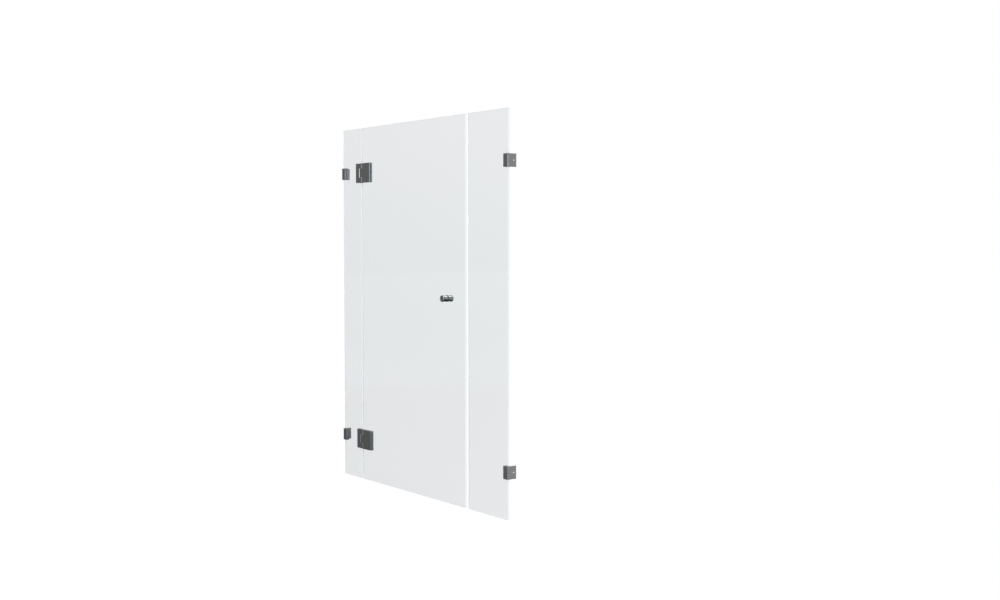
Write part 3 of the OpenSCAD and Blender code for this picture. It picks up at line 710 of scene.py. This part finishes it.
# %% [markdown]
# ## The panes
# Each pane is a copy of its CAD piece with two materials: clear glass on the two large faces and the
# ground finish on everything between them. The faces are told apart by their direction. Glass lets
# nearly all light through, and a solid shadow would look wrong, so the panes throw none.

# %% Panes
ALONG_Y = 0.999

for name in ("left_pane", "door_pane", "right_pane"):
    pane = copy_of(name)
    pane.data.materials.clear()
    pane.data.materials.append(glass)
    pane.data.materials.append(ground)
    for face in pane.data.polygons:
        face.material_index = 0 if abs(face.normal.y) > ALONG_Y else 1
    pane.visible_shadow = False
    stand_in(pane, name)
    clear = sum(face.area for face in pane.data.polygons if face.material_index == 0)
    print(name, "with", round(clear / 2, 3), "square metres of clear glass")

# %% [markdown]
# ## Edges that catch the light
# No real metal edge is perfectly sharp, and the thin bright line along an edge is what tells the eye
# that a thing is solid. A Bevel modifier rounds every edge that turns by more than a given angle, and it
# is applied at once, so the next step works on the finished mesh.

# %% A helper for fine edges
def round_edges(piece, width, degrees, segments):
    """A fine bevel on every edge above this angle."""
    select_only(piece)
    edge = piece.modifiers.new("edge", "BEVEL")
    edge.width = width
    edge.segments = segments
    edge.limit_method = "ANGLE"
    edge.angle_limit = math.radians(degrees)
    bpy.ops.object.modifier_apply(modifier="edge")


# %% [markdown]
# ## Smooth where round, flat where flat
# Shading smooth by angle makes round surfaces look round. Next to a fine bevel it also tilts the shading
# of the large flat face, which then mirrors the wrong part of the room. The Weighted Normal modifier
# lets the largest face decide, so flat faces are flat again and only the bevel itself is rounded.

# %% A helper for the shading
def smooth_round_parts(piece, degrees):
    """Smooth shading for edges flatter than this, with the large faces kept flat."""
    select_only(piece)
    bpy.ops.object.shade_smooth_by_angle(angle=math.radians(degrees))
    weighted = piece.modifiers.new("weighted", "WEIGHTED_NORMAL")
    weighted.keep_sharp = True
    bpy.ops.object.modifier_apply(modifier="weighted")


# %% [markdown]
# ## Softened metal
# The hinge leaves, clamps and covers are machined plates whose edges were broken with a file before the
# finish went on. Their shape is right in the CAD model already, so each one is a copy of its CAD piece
# with a fine bevel, shaded smooth where it is round.

# %% Softened metal
SOFT_EDGE = 0.00015
SOFT_EDGE_DEG = 30
ROUND_DEG = 32

softened = [name for name in nodes if slot_of[name] == "satin_metal"]
for name in softened:
    piece = copy_of(name)
    round_edges(piece, SOFT_EDGE, SOFT_EDGE_DEG, segments=2)
    smooth_round_parts(piece, ROUND_DEG)
    stand_in(piece, name)
print(len(softened), "satin pieces softened")

# %% [markdown]
# ## The knobs
# A knob is a turned piece: a foot on the washer, a body, a slightly wider head and a shallow dish in
# its face. It could be made by spinning a profile, but working outwards from one cylinder shows the
# order in which a lathe would do it. The foot is the start. Its outer end is then extruded again and
# again, and after each step the new end is scaled to the next radius.

# %% The outer knob
FOOT_RADIUS, FOOT_LEN = 0.016, 0.0025
BODY_RADIUS = 0.015
HEAD_LEN, RIM_BEVEL = 0.007, 0.0012
DISH_RADIUS, DISH_DEPTH = 0.012, 0.0008

knob_len = knob_high.y - knob_low.y
head_radius = (knob_high.x - knob_low.x) / 2
bpy.ops.object.select_all(action="DESELECT")
bpy.ops.mesh.primitive_cylinder_add(
    vertices=96, radius=FOOT_RADIUS, depth=FOOT_LEN, rotation=(math.radians(90), 0, 0),
    location=(knob_axis[0], knob_high.y - FOOT_LEN / 2, knob_axis[2]))
outer = bpy.context.object
bpy.ops.object.transform_apply(location=True, rotation=True, scale=True)


def select_end(piece, y, within=0.000001):
    """In edit mode, select only the flat cap that lies at this y."""
    mesh = bmesh.from_edit_mesh(piece.data)
    bpy.ops.mesh.select_all(action="DESELECT")
    for face in mesh.faces:
        if abs(face.calc_center_median().y - y) < within and abs(face.normal.y) > ALONG_Y:
            face.select_set(True)
    bmesh.update_edit_mesh(piece.data)


def turn_steps(steps, axis, y, radius):
    """Extrude the selected end along Y, once for each (length, new radius) of the steps."""
    for length, next_radius in steps:
        y += length
        bpy.ops.mesh.extrude_region_move(TRANSFORM_OT_translate={"value": (0, length, 0)})
        bpy.ops.transform.resize(
            value=(next_radius / radius, 1, next_radius / radius),
            center_override=(axis[0], y, axis[2]))
        radius = next_radius


bpy.ops.object.mode_set(mode="EDIT")
bpy.ops.mesh.select_mode(type="FACE")
select_end(outer, knob_high.y - FOOT_LEN)
turn_steps([
    (0.0, BODY_RADIUS),
    (-(knob_len - FOOT_LEN - HEAD_LEN), BODY_RADIUS),
    (-RIM_BEVEL, head_radius),
    (-(HEAD_LEN - 2 * RIM_BEVEL), head_radius),
    (-RIM_BEVEL, head_radius - RIM_BEVEL),
    (0.0, DISH_RADIUS),
    (DISH_DEPTH, DISH_RADIUS - DISH_DEPTH),
], knob_axis, knob_high.y - FOOT_LEN, FOOT_RADIUS)
bpy.ops.object.mode_set(mode="OBJECT")
print("knob of", len(outer.data.polygons), "faces,", round(knob_len * 1000, 1), "mm long")

# %% [markdown]
# The inner knob is the same turned piece on the other side of the glass, so it is a copy turned half
# round. It alone has a hole on its underside, for the headless screw that locks it on the stud. A
# Boolean with a plain cylinder cuts it. Then both knobs get the fine bevel that a lathe operator
# leaves with a file, and are shaded smooth.

# %% A helper that cuts
def cut(piece, cutter):
    """Takes the cutter's shape out of the piece. The cutter is used up."""
    hole = piece.modifiers.new("cut", "BOOLEAN")
    hole.object = cutter
    hole.solver = "EXACT"
    select_only(piece)
    bpy.ops.object.modifier_apply(modifier="cut")
    bpy.data.objects.remove(cutter)


# %% The inner knob and the finish of both
LOCK_HOLE_PLAY = 0.00005
LOCK_HOLE_DEPTH = BODY_RADIUS + 0.002
KNOB_EDGE = 0.0003
KNOB_EDGE_DEG = 25

inner_low, inner_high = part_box("inner_knob")
lock_low, lock_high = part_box("knob_grub_screw")
glass_plane = (knob_high.y + inner_low.y) / 2

select_only(outer)
bpy.ops.object.duplicate()
inner = bpy.context.object
inner.location.y = 2 * glass_plane
inner.scale.y = -1
bpy.ops.object.transform_apply(location=True, rotation=True, scale=True)
bpy.ops.object.mode_set(mode="EDIT")
bpy.ops.mesh.select_all(action="SELECT")
bpy.ops.mesh.normals_make_consistent(inside=False)
bpy.ops.object.mode_set(mode="OBJECT")

bpy.ops.mesh.primitive_cylinder_add(
    vertices=48, radius=(lock_high.x - lock_low.x) / 2 + LOCK_HOLE_PLAY, depth=LOCK_HOLE_DEPTH,
    location=(knob_axis[0], (lock_low.y + lock_high.y) / 2, knob_axis[2] - LOCK_HOLE_DEPTH / 2))
cut(inner, bpy.context.object)

for knob, name in ((outer, "outer_knob"), (inner, "inner_knob")):
    round_edges(knob, KNOB_EDGE, KNOB_EDGE_DEG, segments=3)
    smooth_round_parts(knob, KNOB_EDGE_DEG)
    knob.data.materials.clear()
    knob.data.materials.append(polished)
    stand_in(knob, name)
    print(name, [round(v * 1000, 2) for v in knob.dimensions])

# %% [markdown]
# ## The screws
# Sixteen countersunk screws close the leaves and clamps, and from inside the shower their heads are the
# finest detail to see. One is modelled well and then copied: a shank, a cone that widens to the head, a
# hexagon socket cut with a Boolean, and a fine bevel on every edge.

# %% One screw
HEAD_RADIUS, SHANK_RADIUS = 0.006, 0.003
SOCKET_FLATS, SOCKET_DEPTH = 0.004, 0.0025
SCREW_EDGE = 0.00012
SCREW_EDGE_DEG = 35
SCREW_ROUND_DEG = 30

one_low, one_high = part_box("left_clamp_screws")
screw_len = one_high.y - one_low.y
cone_len = HEAD_RADIUS - SHANK_RADIUS
bpy.ops.object.select_all(action="DESELECT")
bpy.ops.mesh.primitive_cylinder_add(
    vertices=48, radius=SHANK_RADIUS, depth=screw_len - cone_len, rotation=(math.radians(90), 0, 0),
    location=(0, -cone_len - (screw_len - cone_len) / 2, 0))
screw = bpy.context.object
screw.name = "one_screw"
bpy.ops.object.transform_apply(location=True, rotation=True, scale=True)
bpy.ops.object.mode_set(mode="EDIT")
bpy.ops.mesh.select_mode(type="FACE")
select_end(screw, -cone_len)
turn_steps([(cone_len, HEAD_RADIUS)], (0, 0, 0), -cone_len, SHANK_RADIUS)
bpy.ops.object.mode_set(mode="OBJECT")

bpy.ops.mesh.primitive_cylinder_add(
    vertices=6, radius=SOCKET_FLATS / math.sqrt(3), depth=2 * SOCKET_DEPTH,
    rotation=(math.radians(90), 0, 0), location=(0, 0, 0))
cut(screw, bpy.context.object)
round_edges(screw, SCREW_EDGE, SCREW_EDGE_DEG, segments=2)
smooth_round_parts(screw, SCREW_ROUND_DEG)
screw.data.materials.clear()
screw.data.materials.append(screw_steel)
print("one screw of", len(screw.data.polygons), "faces,", round(screw_len * 1000, 1), "mm long")

# %% [markdown]
# A CAD node of screws holds two or four of them, one at each corner of its box. The corners, drawn in by
# the head's radius, are therefore the places. The copies for one node are joined into one piece.

# %% All screws
def corner_places(node):
    """The (x, z) of the screws of one node, without doubles."""
    low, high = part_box(node)
    return sorted({(round(x, 6), round(z, 6))
                   for x in (low.x + HEAD_RADIUS, high.x - HEAD_RADIUS)
                   for z in (low.z + HEAD_RADIUS, high.z - HEAD_RADIUS)})


SCREW_ENDINGS = ("clamp_screws", "fixed_screws", "door_screws")
screw_nodes = [name for name in nodes if name.endswith(SCREW_ENDINGS)]
for name in screw_nodes:
    copies = []
    for x, z in corner_places(name):
        select_only(screw)
        bpy.ops.object.duplicate()
        bpy.context.object.location = (x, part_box(name)[1].y, z)
        copies.append(bpy.context.object)
    bpy.ops.object.select_all(action="DESELECT")
    for copy in copies:
        copy.select_set(True)
    bpy.context.view_layer.objects.active = copies[0]
    bpy.ops.object.join()
    stand_in(copies[0], name)
    print(name, "has", len(copies), "screws")
bpy.data.objects.remove(screw)
